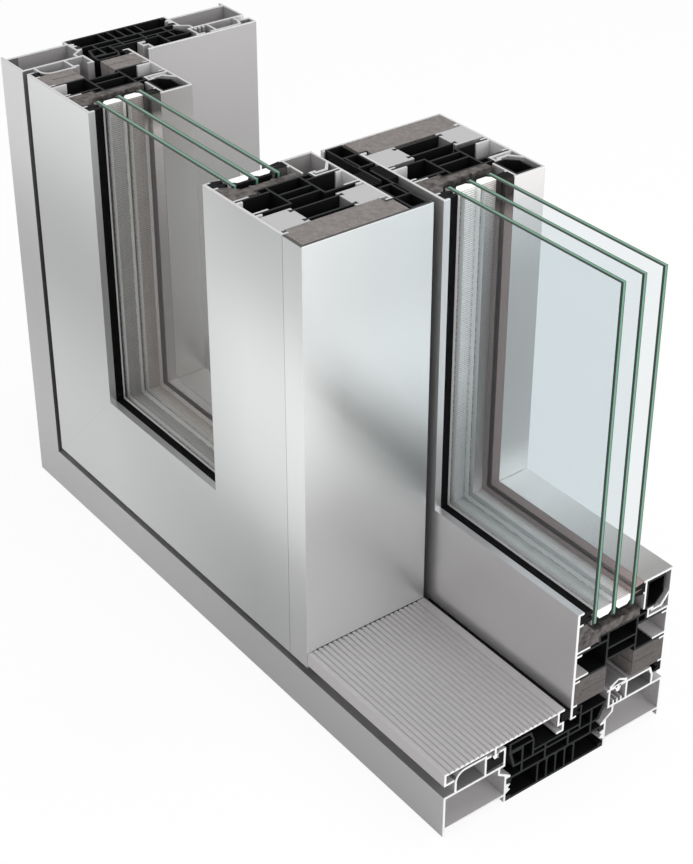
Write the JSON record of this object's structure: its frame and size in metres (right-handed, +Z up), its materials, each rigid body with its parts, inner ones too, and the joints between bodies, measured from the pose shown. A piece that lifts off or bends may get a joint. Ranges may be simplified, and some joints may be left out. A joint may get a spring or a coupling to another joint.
{
  "type": "cutaway corner sample of a glass sliding patio door",
  "caption": "Cutaway corner sample of a two-track glass sliding patio door: frame corner, fixed leaf and sliding leaf on a running rail, sawn open to show the hollow profiles.",
  "frame": {"origin": "middle of the sample's footprint, on the underside of the sill", "axes": "+X along the width from the jamb to the sawn end, +Y from the front (fixed leaf) to the back (sliding leaf), +Z up"},
  "size_m": [0.497, 0.183, 0.344],
  "materials": {
    "aluminium": "satin anodised",
    "rail_aluminium": "plain mill",
    "threshold_aluminium": "ribbed satin",
    "block_aluminium": "sawn",
    "black_plastic": "matt",
    "seal_rubber": "matt",
    "foam": "sawn rigid foam",
    "spacer_plastic": "matt, perforated",
    "clear_glass": "clear with green edge"
  },
  "bodies": {
    "frame": {"sill_front_profile": "aluminium", "jamb_front_profile": "aluminium", "sill_thermal_break": "black_plastic", "jamb_thermal_break": "black_plastic", "sill_rear_profile": "aluminium", "jamb_rear_profile": "aluminium", "running_rail": "rail_aluminium", "jamb_cover": "aluminium", "threshold_plate": "threshold_aluminium", "threshold_seal": "seal_rubber", "fixed_bottom_rail_front": "aluminium", "fixed_bottom_rail_rear": "aluminium", "fixed_bottom_rail_core": "black_plastic", "fixed_meeting_stile_front": "aluminium", "fixed_meeting_stile_rear": "aluminium", "fixed_meeting_stile_core": "black_plastic", "fixed_left_stile_front": "aluminium", "fixed_left_stile_rear": "aluminium", "fixed_left_stile_core": "black_plastic", "fixed_meeting_stile_blocks": "block_aluminium", "fixed_meeting_stile_cover_foam": "foam", "fixed_meeting_stile_cover": "aluminium", "fixed_meeting_stile_profile": "black_plastic", "fixed_seals": "seal_rubber", "fixed_spacers": "spacer_plastic", "fixed_rebate_foam": "foam", "fixed_glass_panes": "clear_glass", "fixed_glazing_beads": "aluminium", "fixed_foam": "foam"},
    "sliding_leaf": {"sliding_bottom_rail_front": "aluminium", "sliding_bottom_rail_rear": "aluminium", "sliding_bottom_rail_core": "black_plastic", "sliding_meeting_stile_front": "aluminium", "sliding_meeting_stile_rear": "aluminium", "sliding_meeting_stile_core": "black_plastic", "sliding_meeting_stile_blocks": "block_aluminium", "sliding_meeting_stile_cover_foam": "foam", "sliding_meeting_stile_cover": "aluminium", "sliding_meeting_stile_profile": "black_plastic", "sliding_seals": "seal_rubber", "sliding_spacers": "spacer_plastic", "sliding_rebate_foam": "foam", "sliding_glass_panes": "clear_glass", "sliding_glazing_beads": "aluminium", "sliding_foam": "foam"}
  },
  "joints": [
    {"name": "leaf_slide", "type": "slide", "parent": "frame", "child": "sliding_leaf", "axis": [-1, 0, 0], "range_m": [0, 0.2]}
  ]
}
